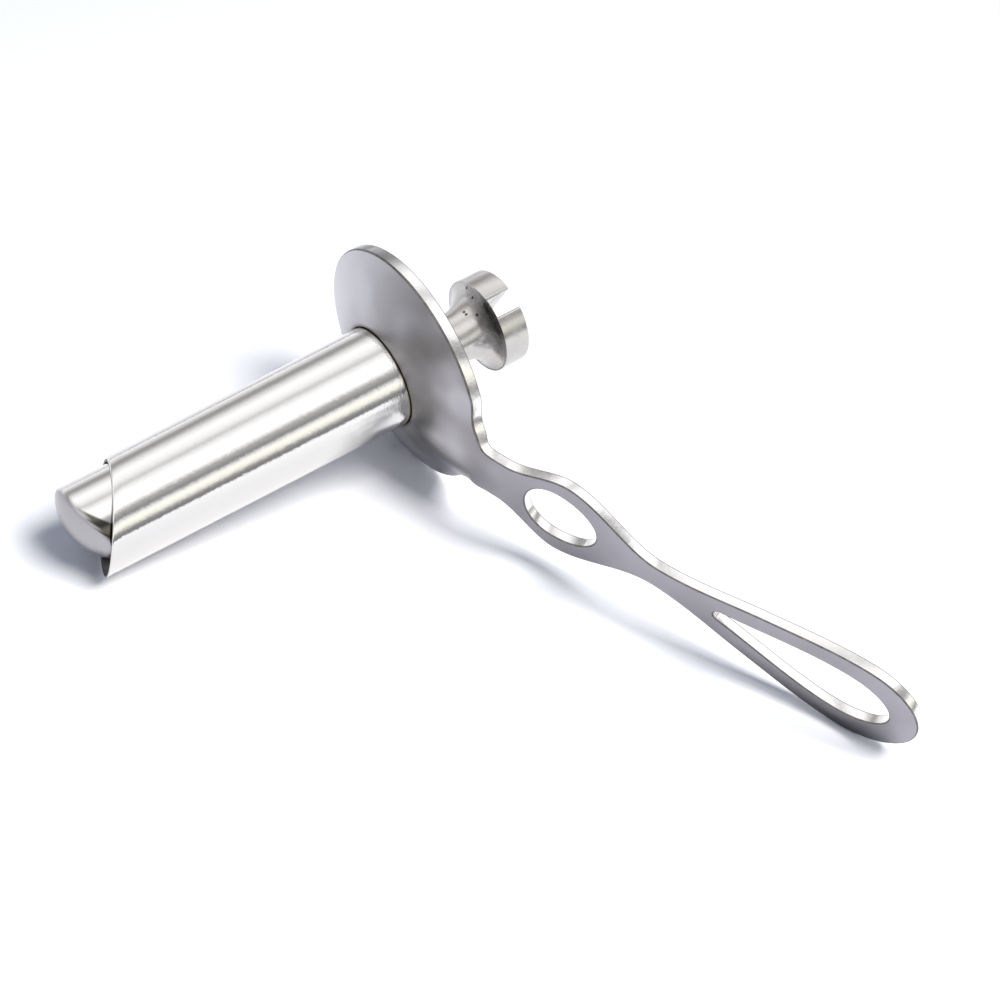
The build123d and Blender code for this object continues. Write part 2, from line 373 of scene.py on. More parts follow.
def plate_point(y, z, depth):
    """The plate under (y, z): a dish whose rim falls back as radius^1.25, and a level bend that
    turns into a straight lean, mixed by the turn round the tube; depth goes into the thickness."""
    slope = np.tan(handle_lean)
    past = z - bend_start
    bend = np.where(
        np.abs(past) < bend_reach,
        slope * (past + bend_reach) ** 2 / (4 * bend_reach),
        slope * np.maximum(past, 0),
    )
    radius = np.hypot(y, z)
    dish = np.maximum(radius - flange_flat_radius, 0) / (flange_radius - flange_flat_radius)
    dish = dish_drop * np.minimum(dish, past_rim) ** dish_power
    turn = np.degrees(np.abs(np.arctan2(y, z)))
    dished = smooth_step((turn - ridge_inner_turn) / (ridge_outer_turn - ridge_inner_turn))
    dished = dished * (1 - smooth_step((z - flange_radius) / bend_reach))
    leaning = smooth_step((z - flange_radius) / bend_reach)
    into_x = (1 - leaning) / np.cos(handle_lean) + leaning * np.cos(handle_lean)
    into_z = leaning * np.sin(handle_lean)
    x = -(bend * (1 - dished) + dish * dished)
    return np.stack([x - depth * into_x, y + 0 * x, z - depth * into_z], axis=-1)


def blade_place(run, width):
    """A place on the handle, run mm past the flange's fillets, seen along the tube."""
    return np.stack([width + 0 * run, fillet_centre_z + run * np.cos(handle_lean) + 0 * width], axis=-1)


def eased_line(run, knots, widths, rises):
    """Cubic pieces through (knot, width) with the given rise at each knot."""
    knots, widths, rises = map(np.array, (knots, widths, rises))
    piece = np.clip(np.searchsorted(knots, run) - 1, 0, len(knots) - 2)
    gap = knots[piece + 1] - knots[piece]
    t = np.clip((run - knots[piece]) / gap, 0, 1)
    start, end = widths[piece], widths[piece + 1]
    lift = t * (1 - t) * gap * (rises[piece] * (1 - t) - rises[piece + 1] * t)
    return start + (end - start) * smooth_step(t) + lift


def spaced(path, stations, steps):
    """Places at equal steps of arc length between stations, given as index numbers of path."""
    length = np.concatenate([[0], np.cumsum(np.hypot(*np.diff(path, axis=0).T))])
    marks = [np.linspace(length[a], length[b], n + 1)[1:] for a, b, n in zip(stations, stations[1:], steps)]
    marks = np.concatenate([[length[stations[0]]], *marks])
    return np.stack([np.interp(marks, length, path[:, k]) for k in (0, 1)], axis=-1)


# The outlines are first laid out finely, then stepped evenly between stations. They are halves,
# on the +y side, and start on the side away from the handle.
fine = 600
down_turn = np.linspace(np.pi, fillet_turn, fine)
fillet_sweep = np.linspace(fillet_turn, np.pi / 2, fine)[1:]
end_sweep = np.linspace(0, np.pi / 2, fine)[1:]
side_run = np.linspace(0, grip_middle, 4 * fine)[1:]
side_width = eased_line(
    side_run,
    [neck_run, loop_middle, waist_middle, flank_middle, grip_middle],
    [neck_half_width, loop_half_width, waist_half_width, flank_half_width, grip_half_width],
    [0, 0, 0, flank_rise, 0],
)
rim_path = np.concatenate([
    flange_radius * np.stack([np.sin(down_turn), np.cos(down_turn)], axis=-1),
    np.stack(
        [
            fillet_centre_y - root_fillet * np.sin(fillet_sweep),
            fillet_centre_z - root_fillet * np.cos(fillet_sweep),
        ],
        axis=-1,
    ),
    blade_place(side_run, side_width),
    blade_place(grip_middle + grip_end_length * np.sin(end_sweep), grip_half_width * np.cos(end_sweep)),
])
side_index = len(down_turn) + len(fillet_sweep)
oval_start = oval_middle - oval_near_length
oval_end = oval_middle + oval_far_length
rim_stations = [0, fine - 1] + [
    side_index + int(np.searchsorted(side_run, run)) for run in (oval_start, oval_end, teardrop_start)
] + [len(rim_path) - 1]
# Steps along the bore, from it to the oval eye, along that, to the teardrop eye, and along that.
strip_steps = [150, 60, 70, 50, 190]
rim_half = spaced(rim_path, rim_stations, strip_steps)
rim_half[[0, -1], 0] = 0

bore_turn = np.linspace(np.pi, 0, strip_steps[0] + 1)
bore_half = bore_radius * np.stack([np.sin(bore_turn), np.cos(bore_turn)], axis=-1)
oval_sweep = np.linspace(-np.pi / 2, np.pi / 2, 2 * fine)
oval_reach = np.where(oval_sweep < 0, oval_near_length, oval_far_length)
oval_path = blade_place(oval_middle + oval_reach * np.sin(oval_sweep), oval_half_width * np.cos(oval_sweep))
oval_half = spaced(oval_path, [0, len(oval_path) - 1], [strip_steps[2]])
point_sweep = np.linspace(0, np.pi / 2, fine)
teardrop_run = np.linspace(teardrop_point, teardrop_middle, 2 * fine)[1:]
teardrop_rise = (teardrop_half_width - teardrop_point_radius) / (teardrop_middle - teardrop_point)
teardrop_path = np.concatenate([
    blade_place(
        teardrop_point - teardrop_point_radius * np.cos(point_sweep),
        teardrop_point_radius * np.sin(point_sweep),
    ),
    blade_place(
        teardrop_run,
        eased_line(
            teardrop_run,
            [teardrop_point, teardrop_middle],
            [teardrop_point_radius, teardrop_half_width],
            [teardrop_rise, 0],
        ),
    ),
    blade_place(
        teardrop_middle + teardrop_round_length * np.sin(end_sweep), teardrop_half_width * np.cos(end_sweep)
    ),
])
teardrop_half = spaced(teardrop_path, [0, len(teardrop_path) - 1], [strip_steps[4]])
holes = (bore_half, oval_half, teardrop_half)
for half in holes:
    half[[0, -1], 0] = 0


def whole(half):
    """A closed outline from its half on the +y side, mirrored back on the other side."""
    return np.concatenate([half, half[-2:0:-1] * [-1, 1]])


def outwards(loop):
    """Unit directions square to a closed outline, away from its inside."""
    run = np.roll(loop, -1, axis=0) - np.roll(loop, 1, axis=0)
    return np.stack([run[:, 1], -run[:, 0]], axis=-1) / np.hypot(*run.T)[:, None]


ease = np.linspace(0, np.pi / 2, 6)
edge_inset = edge_easing * (1 - np.sin(ease))
edge_depth = edge_easing * (1 - np.cos(ease))
edge_inset = np.concatenate([edge_inset, edge_inset[::-1]])
edge_depth = np.concatenate([edge_depth, plate_thickness - edge_depth[::-1]])


def edge_sheet(half, side):
    """The wall along an outline and its eased corners; side is 1 round a hole, -1 at the rim."""
    loop = whole(half)
    places = loop + side * edge_inset[:, None, None] * outwards(loop)
    points = plate_point(places[..., 0], places[..., 1], edge_depth[:, None]).reshape(-1, 3)
    quads = grid_faces(len(edge_inset), len(loop), closed_columns=True)
    wall = (len(ease) - 1) * len(loop)
    rest = np.concatenate([quads[:wall], quads[wall + len(loop):]])
    return [(points, quads[wall:wall + len(loop)], 1), (points, rest, 2)]


def eased_half(half, side):
    """The half outline moved from the edge to where the flat face begins."""
    return (whole(half) + side * edge_easing * outwards(whole(half)))[: len(half)]


bore_eased, oval_eased, teardrop_eased = (eased_half(half, 1) for half in holes)


def middle_line(start, end, steps):
    """Places on the handle's middle line between two eyes, without both ends."""
    return np.linspace(start, end, steps + 1)[1:-1]


face_inside = np.concatenate([
    bore_eased,
    middle_line(bore_eased[-1], oval_eased[0], strip_steps[1]),
    oval_eased,
    middle_line(oval_eased[-1], teardrop_eased[0], strip_steps[3]),
    teardrop_eased,
])
face_outside = eased_half(rim_half, -1)
# From the eyes' edges to the rim the rows lie closer together near both edges.
width_share = (0.5 - 0.5 * np.cos(np.linspace(0, np.pi, 33)))[:, None, None]
face_half = (1 - width_share) * face_inside + width_share * face_outside
face_quads = grid_faces(*face_half.shape[:2])
plate_sheets = edge_sheet(rim_half, -1)
for half in holes:
    plate_sheets += edge_sheet(half, 1)
for mirror in (1, -1):
    for depth in (0.0, plate_thickness):
        face = plate_point(mirror * face_half[..., 0], face_half[..., 1], depth)
        plate_sheets.append((face.reshape(-1, 3), face_quads, 0))

# Satin stainless steel: blasted and lightly brushed, so it gives only soft, cloudy reflections.
# Its grit marks are about 0.05 mm in life and are drawn 0.35 mm wide here.
satin_steel = start_finish("satin_stainless_steel")
place = add(satin_steel, "ShaderNodeAttribute", attribute_name="own_mm").outputs["Vector"]
clouds = add(
    satin_steel, "ShaderNodeTexNoise", {"Vector": place, "Scale": 0.085, "Detail": 1.0, "Roughness": 0.4}
)
grit = add(
    satin_steel, "ShaderNodeTexNoise", {"Vector": place, "Scale": 2.8, "Detail": 2.0, "Roughness": 0.6}
)
dents = add(
    satin_steel, "ShaderNodeTexNoise", {"Vector": place, "Scale": 0.16, "Detail": 1.0, "Roughness": 0.4}
)
dent_bump = add(
    satin_steel, "ShaderNodeBump", {"Height": dents.outputs["Fac"], "Strength": 1.0, "Distance": 5e-5}
)
grit_bump = add(
    satin_steel,
    "ShaderNodeBump",
    {"Height": grit.outputs["Fac"], "Strength": 1.0, "Distance": 9e-6, "Normal": dent_bump.outputs[0]},
)
satin_gloss = add(
    satin_steel,
    "ShaderNodeMapRange",
    {"Value": clouds.outputs["Fac"], "From Min": 0.2, "From Max": 0.8, "To Min": 0.27, "To Max": 0.4},
)
cloud_share = add(
    satin_steel,
    "ShaderNodeMapRange",
    {"Value": clouds.outputs["Fac"], "From Min": 0.3, "From Max": 0.7, "To Min": 0.0, "To Max": 1.0},
    interpolation_type="SMOOTHSTEP",
)
cloud_colour = add(
    satin_steel,
    "ShaderNodeMix",
    {"Factor": cloud_share.outputs[0], 6: linear("#757372"), 7: linear("#ABA9AD")},
    data_type="RGBA",
)
# The flange is cloudy, with painted light: it is made lighter away from the handle. The handle is
# rubbed even, and the rail that the fingers close round is darker with a painted dark reflection.
own_place = add(satin_steel, "ShaderNodeSeparateXYZ", {"Vector": place})
handle_share = add(
    satin_steel,
    "ShaderNodeMapRange",
    {"Value": own_place.outputs["Z"], "From Min": 22.0, "From Max": 44.0, "To Min": 0.0, "To Max": 0.8},
    interpolation_type="SMOOTHSTEP",
)
even_colour = add(
    satin_steel,
    "ShaderNodeMix",
    {"Factor": handle_share.outputs[0], 6: cloud_colour.outputs[2], 7: linear("#95939A")},
    data_type="RGBA",
)
# Painted light: the flange's side away from the handle is coloured lighter, as if more light fell there.
painted_light_share = add(
    satin_steel,
    "ShaderNodeMapRange",
    {"Value": own_place.outputs["Z"], "From Min": -27.0, "From Max": 14.0, "To Min": 0.8, "To Max": 0.0},
    interpolation_type="SMOOTHSTEP",
)
painted_light_colour = add(
    satin_steel,
    "ShaderNodeMix",
    {"Factor": painted_light_share.outputs[0], 6: even_colour.outputs[2], 7: linear("#CCCACD")},
    data_type="RGBA",
)
# Painted reflection: the rail on the +y side near the handle's end is darkened as if it mirrored the shaded
# table.
rail_side = add(
    satin_steel,
    "ShaderNodeMapRange",
    {"Value": own_place.outputs["Y"], "From Min": 5.5, "From Max": 11.0, "To Min": 0.0, "To Max": 1.0},
)
rail_end = add(
    satin_steel,
    "ShaderNodeMapRange",
    {"Value": own_place.outputs["Z"], "From Min": 78.0, "From Max": 96.0, "To Min": 0.0, "To Max": 0.85},
)
rail_painted_reflection_share = add(
    satin_steel, "ShaderNodeMath", {0: rail_side.outputs[0], 1: rail_end.outputs[0]}, operation="MULTIPLY"
)
rail_painted_reflection_colour = add(
    satin_steel,
    "ShaderNodeMix",
    {"Factor": rail_painted_reflection_share.outputs[0], 6: painted_light_colour.outputs[2], 7: linear("#595859")},
    data_type="RGBA",
)
# The flange is coloured darker brown in a thin ring round the tube's root.
flat_place = add(
    satin_steel, "ShaderNodeCombineXYZ", {"Y": own_place.outputs["Y"], "Z": own_place.outputs["Z"]}
)
root_distance = add(
    satin_steel, "ShaderNodeVectorMath", {0: flat_place.outputs[0]}, operation="LENGTH"
).outputs["Value"]
root_ring_share = add(
    satin_steel,
    "ShaderNodeMapRange",
    {"Value": root_distance, "From Min": 12.6, "From Max": 13.8, "To Min": 1.0, "To Max": 0.0},
    interpolation_type="SMOOTHSTEP",
)
root_ring_colour = add(
    satin_steel,
    "ShaderNodeMix",
    {"Factor": root_ring_share.outputs[0], 6: rail_painted_reflection_colour.outputs[2], 7: linear("#766C61")},
    data_type="RGBA",
)
satin_shader = add(
    satin_steel,
    "ShaderNodeBsdfPrincipled",
    {
        "Base Color": root_ring_colour.outputs[2],
        "Metallic": 1.0,
        "Roughness": satin_gloss.outputs[0],
        "Normal": grit_bump.outputs[0],
    },
)
add(satin_steel, "ShaderNodeOutputMaterial", {"Surface": satin_shader.outputs[0]})

# Polished plate edge: the same steel, run along a belt and a felt wheel, so it is bright with
# shallow waves along the edge and a few duller patches.
edge_steel = start_finish("belt_polished_steel_edge")
place = add(edge_steel, "ShaderNodeAttribute", attribute_name="own_mm").outputs["Vector"]
belt_marks = add(
    edge_steel, "ShaderNodeTexNoise", {"Vector": place, "Scale": 0.55, "Detail": 3.0, "Roughness": 0.6}
)
belt_bump = add(
    edge_steel, "ShaderNodeBump", {"Height": belt_marks.outputs["Fac"], "Strength": 1.0, "Distance": 5e-5}
)
belt_gloss = add(
    edge_steel,
    "ShaderNodeMapRange",
    {"Value": belt_marks.outputs["Fac"], "From Min": 0.35, "From Max": 0.7, "To Min": 0.12, "To Max": 0.26},
)
# Away from the handle the flange's rim was only blasted, so it stays grey there.
edge_place = add(edge_steel, "ShaderNodeSeparateXYZ", {"Vector": place})
polished_share = add(
    edge_steel,
    "ShaderNodeMapRange",
    {"Value": edge_place.outputs["Z"], "From Min": -20.0, "From Max": 2.0, "To Min": 0.0, "To Max": 1.0},
    interpolation_type="SMOOTHSTEP",
)
edge_colour = add(
    edge_steel,
    "ShaderNodeMix",
    {"Factor": polished_share.outputs[0], 6: linear("#8F8E90"), 7: linear("#DFDDDA")},
    data_type="RGBA",
)
edge_shader = add(
    edge_steel,
    "ShaderNodeBsdfPrincipled",
    {
        "Base Color": edge_colour.outputs[2],
        "Metallic": 1.0,
        "Roughness": belt_gloss.outputs[0],
        "Normal": belt_bump.outputs[0],
    },
)
add(edge_steel, "ShaderNodeOutputMaterial", {"Surface": edge_shader.outputs[0]})

# The eased corners, about 0.3 mm wide, are coloured a dark, mottled grey.
corner_steel = start_finish("dark_steel_corner")
place = add(corner_steel, "ShaderNodeAttribute", attribute_name="own_mm").outputs["Vector"]
corner_mottle = add(
    corner_steel, "ShaderNodeTexNoise", {"Vector": place, "Scale": 0.7, "Detail": 2.0, "Roughness": 0.6}
)
dark_corner_colour = add(
    corner_steel,
    "ShaderNodeMix",
    {"Factor": corner_mottle.outputs["Fac"], 6: linear("#3F3D3A"), 7: linear("#8E8B87")},
    data_type="RGBA",
)
corner_shader = add(
    corner_steel,
    "ShaderNodeBsdfPrincipled",
    {"Base Color": dark_corner_colour.outputs[2], "Metallic": 1.0, "Roughness": 0.36},
)
add(corner_steel, "ShaderNodeOutputMaterial", {"Surface": corner_shader.outputs[0]})

make_piece("plate", plate_sheets, [satin_steel, edge_steel, corner_steel], "speculum", "flange_handle")

# Obturator tip: a solid turned plug that fills the tube's far end, cut on a slant of its own and
# domed, its edge rounded over. It is lapped by hand, so it is smooth and softly bright.
tip_radius = 10.42
tip_face_middle = 73.6
tip_back = tip_face_middle - 36.0
tip_slope = np.radians(27.0)
tip_turn = np.radians(-124.0)
tip_dome_height = 6.8
tip_edge_round = 2.2
tip_back_easing = 0.6
dome_overreach = 1.01
rod_spigot = 4.0
spigot_length = 12.0
spigot_gap = 0.05
spigot_hole_radius = rod_spigot + spigot_gap
spigot_hole_depth = spigot_length + spigot_gap

tip_low_side = np.array([0, np.sin(tip_turn), np.cos(tip_turn)])
face_normal = np.array([np.cos(tip_slope), 0, 0]) - tip_low_side * np.sin(tip_slope)
# The dome spans the slanted face, and a hundredth more, so that it meets the barrel all round.
face_reach = dome_overreach * tip_radius / np.cos(tip_slope)
dome_radius = (face_reach**2 + tip_dome_height**2) / (2 * tip_dome_height)
dome_centre = np.array([tip_face_middle, 0, 0]) - face_normal * (dome_radius - tip_dome_height)
out = np.stack([0 * turns, np.sin(turns), np.cos(turns)], axis=-1)
# A ball of the rounding's radius rolls inside the dome and the barrel; its centre's path:
ball_path = (tip_radius - tip_edge_round) * out
ball_reach = dome_radius - tip_edge_round
off_centre_squared = ((ball_path - dome_centre)[:, 1:] ** 2).sum(axis=1)
ball_path[:, 0] = dome_centre[0] + np.sqrt(ball_reach**2 - off_centre_squared)
dome_direction = (ball_path - dome_centre) / ball_reach


def swung(start, end, share):
    """Unit directions turned evenly from start to end: (sin((1-t)a)·start + sin(ta)·end) / sin a."""
    angle = np.arccos(np.clip((start * end).sum(axis=-1, keepdims=True), -1, 1))
    return (np.sin((1 - share) * angle) * start + np.sin(share * angle) * end) / np.sin(angle)


dome_share = np.linspace(0, 1, 26)[:, None, None]
round_share = np.linspace(0, 1, 9)[1:, None, None]
back_share = np.linspace(0, 1, 24)[1:, None, None]
dome = dome_centre + dome_radius * swung(np.broadcast_to(face_normal, out.shape), dome_direction, dome_share)
shoulder = ball_path + tip_edge_round * swung(dome_direction, out, round_share)
barrel_end = tip_radius * out + np.array([tip_back + tip_back_easing, 0, 0])
barrel = (1 - back_share) * shoulder[-1] + back_share * barrel_end
back_corner = corner(
    barrel_end,
    tip_radius * out + np.array([tip_back, 0, 0]),
    (tip_radius - tip_back_easing) * out + np.array([tip_back, 0, 0]),
)[1:]
hole_end = tip_back + spigot_hole_depth
back_hole = np.stack([spigot_hole_radius * out + np.array([x, 0, 0]) for x in (tip_back, hole_end)])
hole_floor = 0 * out[None] + np.array([hole_end, 0, 0])
tip_points = np.concatenate([dome, shoulder, barrel, back_corner, back_hole, hole_floor])

# Lapped steel: the domed face is an even grey satin, the barrel is buffed bright. A dark band is painted
# along the barrel's end, on the side nearer the tube: a painted dark reflection, with painted shade of the
# mouth at its lower end.
lapped_steel = start_finish("lapped_steel_plug")
place = add(lapped_steel, "ShaderNodeAttribute", attribute_name="own_mm").outputs["Vector"]
haze = add(
    lapped_steel, "ShaderNodeTexNoise", {"Vector": place, "Scale": 0.35, "Detail": 3.0, "Roughness": 0.6}
)
haze_bump = add(
    lapped_steel, "ShaderNodeBump", {"Height": haze.outputs["Fac"], "Strength": 1.0, "Distance": 1.2e-5}
)
plug_place = add(lapped_steel, "ShaderNodeSeparateXYZ", {"Vector": place})
flat_place = add(
    lapped_steel, "ShaderNodeCombineXYZ", {"Y": plug_place.outputs["Y"], "Z": plug_place.outputs["Z"]}
)
axis_distance = add(
    lapped_steel, "ShaderNodeVectorMath", {0: flat_place.outputs[0]}, operation="LENGTH"
).outputs["Value"]
barrel_share = add(
    lapped_steel,
    "ShaderNodeMapRange",
    {"Value": axis_distance, "From Min": 10.1, "From Max": 10.4, "To Min": 0.0, "To Max": 1.0},
)
# The painted dark band widens towards the tube: it is where level + widening·(end - x) > edge, with
# the level counted along the face's normal from the middle of the face.
band_widening = 0.4
band_end_x = 77.3
band_edge = -0.15
band_level = add(
    lapped_steel,
    "ShaderNodeVectorMath",
    {0: place, 1: (face_normal - [band_widening, 0, 0]).tolist()},
    operation="DOT_PRODUCT",
).outputs["Value"]
band_start = tip_face_middle * face_normal[0] + band_edge - band_widening * band_end_x
band_fade = 0.3
painted_band_share = add(
    lapped_steel,
    "ShaderNodeMapRange",
    {
        "Value": band_level,
        "From Min": band_start,
        "From Max": band_start + band_fade,
        "To Min": 0.0,
        "To Max": 1.0,
    },
)
near_tube = add(
    lapped_steel,
    "ShaderNodeMapRange",
    {"Value": plug_place.outputs["X"], "From Min": 70.0, "From Max": 73.0, "To Min": 0.0, "To Max": 0.92},
)
painted_band_on_barrel = add(
    lapped_steel, "ShaderNodeMath", {0: painted_band_share.outputs[0], 1: near_tube.outputs[0]}, operation="MULTIPLY"
)
painted_reflection_share = add(
    lapped_steel,
    "ShaderNodeMath",
    {0: painted_band_on_barrel.outputs[0], 1: barrel_share.outputs[0]},
    operation="MULTIPLY",
)
bare_colour = add(
    lapped_steel,
    "ShaderNodeMix",
    {"Factor": barrel_share.outputs[0], 6: linear("#A9A7A9"), 7: linear("#D6D4D1")},
    data_type="RGBA",
)
# Painted reflection and shade: the dark band stands in for a dark reflection and the mouth's shade.
plug_colour = add(
    lapped_steel,
    "ShaderNodeMix",
    {"Factor": painted_reflection_share.outputs[0], 6: bare_colour.outputs[2], 7: linear("#3A3730")},
    data_type="RGBA",
)
plug_gloss = add(
    lapped_steel,
    "ShaderNodeMapRange",
    {"Value": barrel_share.outputs[0], "From Min": 0.0, "From Max": 1.0, "To Min": 0.3, "To Max": 0.11},
)
plug_shader = add(
    lapped_steel,
    "ShaderNodeBsdfPrincipled",
    {
        "Base Color": plug_colour.outputs[2],
        "Metallic": 1.0,
        "Roughness": plug_gloss.outputs[0],
        "Normal": haze_bump.outputs[0],
    },
)
add(lapped_steel, "ShaderNodeOutputMaterial", {"Surface": plug_shader.outputs[0]})

make_piece(
    "domed_plug",
    [(tip_points.reshape(-1, 3), grid_faces(len(tip_points), len(turns), closed_columns=True), 0)],
    [lapped_steel],
    "obturator",
    "obturator_tip",
)

# Obturator rod: a plain turned bar between plug and knob, held in both by a spigot. It lies in
# the dark inside the tube and shows only when the obturator is drawn out.
rod_radius = 5.0
rod_easing = 0.3
rod_neck_x = -5.0
rod_profile = np.array([
    (rod_neck_x - spigot_length, 0.0),
    (rod_neck_x - spigot_length, rod_spigot),
    (rod_neck_x, rod_spigot),
    (rod_neck_x, rod_radius - rod_easing),
    (rod_neck_x + rod_easing, rod_radius),
    *[(x, rod_radius) for x in np.linspace(rod_neck_x + 2, tip_back - 2, 30)],
    (tip_back - rod_easing, rod_radius),
    (tip_back, rod_radius - rod_easing),
    (tip_back, rod_spigot),
    (tip_back + spigot_length, rod_spigot),
    (tip_back + spigot_length, 0.0),
])[:, None, :]

# Turned steel: the lathe's feed leaves rings about 0.15 mm apart; they are drawn 0.6 mm apart.
turned_steel = start_finish("turned_steel")
place = add(turned_steel, "ShaderNodeAttribute", attribute_name="own_mm").outputs["Vector"]
feed_place = add(turned_steel, "ShaderNodeMapping", {"Vector": place, "Scale": (1.7, 0.12, 0.12)})
feed_rings = add(
    turned_steel,
    "ShaderNodeTexNoise",
    {"Vector": feed_place.outputs[0], "Scale": 1.0, "Detail": 3.0, "Roughness": 0.6},
)
worn_clouds = add(
    turned_steel, "ShaderNodeTexNoise", {"Vector": place, "Scale": 0.3, "Detail": 3.0, "Roughness": 0.6}
)
cloud_bump = add(
    turned_steel,
    "ShaderNodeBump",
    {"Height": worn_clouds.outputs["Fac"], "Strength": 1.0, "Distance": 4e-5},
)
feed_bump = add(
    turned_steel,
    "ShaderNodeBump",
    {
        "Height": feed_rings.outputs["Fac"],
        "Strength": 1.0,
        "Distance": 9e-6,
        "Normal": cloud_bump.outputs[0],
    },
)
turned_gloss = add(
    turned_steel,
    "ShaderNodeMapRange",
    {"Value": worn_clouds.outputs["Fac"], "From Min": 0.3, "From Max": 0.7, "To Min": 0.18, "To Max": 0.34},
)
# Five pores of the casting stayed open on the knob's flare: their places in mm. The distance to the
# nearest one draws them, so it starts from more than a pore's reach.
pore_places = [
    (-27.8, -8.9, -5.6), (-27.2, -9.1, -2.4), (-24.2, -6.8, -1.3), (-24.2, -6.9, -0.4), (-25.8, -7.8, 1.5),
]
pore_distance = 5.0
for pore_place in pore_places:
    to_pore = add(
        turned_steel, "ShaderNodeVectorMath", {0: place, 1: pore_place}, operation="DISTANCE"
    ).outputs["Value"]
    pore_distance = add(
        turned_steel, "ShaderNodeMath", {0: to_pore, 1: pore_distance}, operation="MINIMUM"
    ).outputs[0]
pore_mask = add(
    turned_steel,
    "ShaderNodeMapRange",
    {"Value": pore_distance, "From Min": 0.22, "From Max": 0.48, "To Min": 0.0, "To Max": 1.0},
)
turned_colour = add(
    turned_steel,
    "ShaderNodeMix",
    {"Factor": pore_mask.outputs[0], 6: linear("#4B443C"), 7: linear("#BDBAB6")},
    data_type="RGBA",
)
turned_shader = add(
    turned_steel,
    "ShaderNodeBsdfPrincipled",
    {
        "Base Color": turned_colour.outputs[2],
        "Metallic": 1.0,
        "Roughness": turned_gloss.outputs[0],
        "Normal": feed_bump.outputs[0],
    },
)
add(turned_steel, "ShaderNodeOutputMaterial", {"Surface": turned_shader.outputs[0]})

make_piece(
    "rod",
    [(turned(rod_profile), grid_faces(len(rod_profile), len(turns), closed_columns=True), 0)],
    [turned_steel],
    "obturator",
    "obturator_rod",
)

# Obturator knob: one turned piece, a neck that flares into a short drum with a slot milled
# right across it. The thumb rests on it. It is satin from use, with a few casting pores.
knob_neck_radius = 6.35
knob_rim_radius = 11.75
knob_rim_front = -28.2
knob_rim_height = 6.8
knob_flare_radius = 7.0
slot_half_width = 2.35
slot_turn = np.radians(-72.0)
neck_easing = 0.4
lug_easing = 0.5
lug_overlap = 0.1

flare_centre_radius = knob_neck_radius + knob_flare_radius
flare_end = np.arccos((flare_centre_radius - knob_rim_radius) / knob_flare_radius)
flare_start = knob_rim_front + knob_flare_radius * np.sin(flare_end)
flare_sweep = np.linspace(0, flare_end, 28)
knob_profile = np.array([
    (rod_neck_x - spigot_hole_depth, 0.0),
    (rod_neck_x - spigot_hole_depth, spigot_hole_radius),
    (rod_neck_x, spigot_hole_radius),
    (rod_neck_x, knob_neck_radius - neck_easing),
    (rod_neck_x - 0.3 * neck_easing, knob_neck_radius - 0.3 * neck_easing),
    (rod_neck_x - neck_easing, knob_neck_radius),
    *[(x, knob_neck_radius) for x in np.linspace(rod_neck_x - 1.5, flare_start + 0.5, 16)],
    *[
        (flare_start - knob_flare_radius * np.sin(a), flare_centre_radius - knob_flare_radius * np.cos(a))
        for a in flare_sweep
    ],
    *[(knob_rim_front, r) for r in np.linspace(knob_rim_radius, 0, 14)[1:]],
])[:, None, :]

# The slot leaves two lugs on the flare's flat end, and each reaches 0.1 mm into it. A lug's outline
# is the drum's arc and the slot's straight side, with both corners rounded: an inner outline grown
# square to itself by the rounding, or by less near the end face.
lug_turn = np.arccos((slot_half_width + lug_easing) / (knob_rim_radius - lug_easing))
lug_reach = (knob_rim_radius - lug_easing) * np.sin(lug_turn)
arc_turns = np.linspace(-lug_turn, lug_turn, 90)
corner_turns = np.linspace(lug_turn, np.pi, 10)[1:]
chord = np.linspace(lug_reach, -lug_reach, 40)[1:]
far_corner_turns = np.linspace(np.pi, 2 * np.pi - lug_turn, 10)[1:-1]
lug_directions = np.concatenate([arc_turns, corner_turns, np.full(len(chord), np.pi), far_corner_turns])
lug_base = np.concatenate([
    (knob_rim_radius - lug_easing) * np.stack([np.cos(arc_turns), np.sin(arc_turns)], axis=-1),
    np.tile([slot_half_width + lug_easing, lug_reach], (len(corner_turns), 1)),
    np.stack([np.full(len(chord), slot_half_width + lug_easing), chord], axis=-1),
    np.tile([slot_half_width + lug_easing, -lug_reach], (len(far_corner_turns), 1)),
])
lug_out = np.stack([np.cos(lug_directions), np.sin(lug_directions)], axis=-1)
lug_middle = np.array([(slot_half_width + knob_rim_radius) / 2, 0.0])
lug_start = knob_rim_front + lug_overlap
knob_back = knob_rim_front - knob_rim_height
lug_rows = [(lug_middle + 0 * lug_base, lug_start)]
lug_rows += [
    (lug_base + lug_easing * lug_out, x) for x in np.linspace(lug_start, knob_back + lug_easing, 10)
]
lug_rows += [
    (lug_base + lug_easing * np.cos(a) * lug_out, knob_back + lug_easing * (1 - np.sin(a))) for a in ease[1:]
]
lug_rows += [(lug_middle + (lug_base - lug_middle) * s, knob_back) for s in (0.94, 0.6, 0.3, 0.0)]
slot_run = np.array([np.sin(slot_turn), np.cos(slot_turn)])
slot_side = np.array([-slot_run[1], slot_run[0]])
lug_sheets = []
for side in (1, -1):
    rows = [
        np.concatenate([
            np.full((len(place_2d), 1), x),
            side * place_2d[:, :1] * slot_side + place_2d[:, 1:] * slot_run,
        ], axis=1)
        for place_2d, x in lug_rows
    ]
    lug_sheets.append((np.concatenate(rows), grid_faces(len(rows), len(lug_base), closed_columns=True), 0))

make_piece(
    "knob",
    [(turned(knob_profile), grid_faces(len(knob_profile), len(turns), closed_columns=True), 0)] + lug_sheets,
    [turned_steel],
    "obturator",
    "obturator_knob",
)

